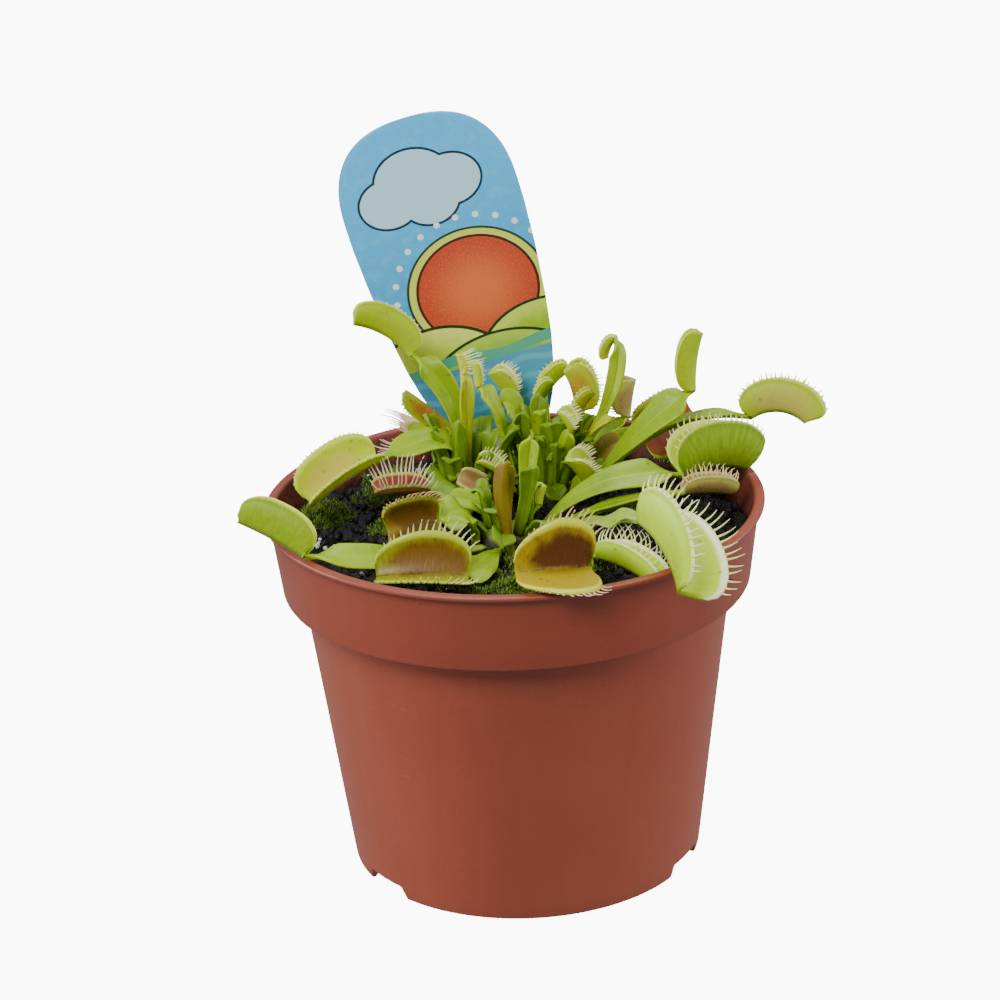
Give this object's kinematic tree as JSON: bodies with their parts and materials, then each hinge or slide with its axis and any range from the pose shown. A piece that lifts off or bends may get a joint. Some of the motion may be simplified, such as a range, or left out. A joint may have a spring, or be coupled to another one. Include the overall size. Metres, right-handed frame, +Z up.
{
  "type": "potted venus flytrap",
  "caption": "Venus flytrap with toothed snap traps on winged stalks, growing in peat in a round nursery pot with a stepped collar and a tongue-shaped plant label.",
  "frame": {"origin": "on the surface that the pot stands on, below the middle of the whole plant's outline seen from above; the pot's own axis is 4.5 mm to -X and 1.4 mm to +Y of it", "axes": "+Z up; +X to the right and +Y to the back, seen from the front; the label stands at the back with its printed face to -Y"},
  "size_m": [0.1059, 0.0928, 0.131],
  "materials": {
    "pot_plastic": "satin",
    "peat": "matte",
    "label_card": "satin",
    "crown_skin": "satin",
    "leaf_green": "satin",
    "leaf_olive": "satin",
    "leaf_red": "satin",
    "leaf_pale": "satin"
  },
  "bodies": {
    "root": {"pot": "pot_plastic", "soil": "peat", "plant_label": "label_card", "crown_front": "crown_skin", "crown_back": "crown_skin", "crown_left": "crown_skin", "leaf_front_centre": "leaf_olive", "leaf_front_left": "leaf_olive", "leaf_far_left": "leaf_green", "leaf_open_right": "leaf_green", "leaf_closed_right": "leaf_green", "leaf_red_upright": "leaf_olive", "leaf_narrow_up": "leaf_green", "leaf_strap": "leaf_green", "leaf_withered_right": "leaf_red", "leaf_upright_right": "leaf_green", "leaf_far_right": "leaf_green", "leaf_tall": "leaf_green", "leaf_red_inside": "leaf_red", "leaf_brown_closed": "leaf_red", "leaf_orange_closed": "leaf_olive", "leaf_green_small": "leaf_green", "leaf_upper_left": "leaf_pale", "leaf_wedge": "leaf_olive", "leaf_pink_cilia": "leaf_green", "leaf_large_left": "leaf_green", "leaf_red_cilia": "leaf_red", "leaf_olive_open": "leaf_olive", "leaf_left_blade": "leaf_green", "leaf_beige_small": "leaf_red", "leaf_inner_left": "leaf_green", "leaf_vertical": "leaf_green", "leaf_long_blade": "leaf_green", "leaf_pale_point": "leaf_pale", "leaf_green_trap": "leaf_green", "leaf_frill": "leaf_pale", "leaf_small_cilia_a": "leaf_pale", "leaf_folded_right": "leaf_green", "leaf_small_cilia_b": "leaf_pale", "leaf_blade_right": "leaf_green", "leaf_bud": "leaf_green", "leaf_yellow_tip": "leaf_pale", "leaf_mid_blade": "leaf_green"}
  },
  "joints": []
}
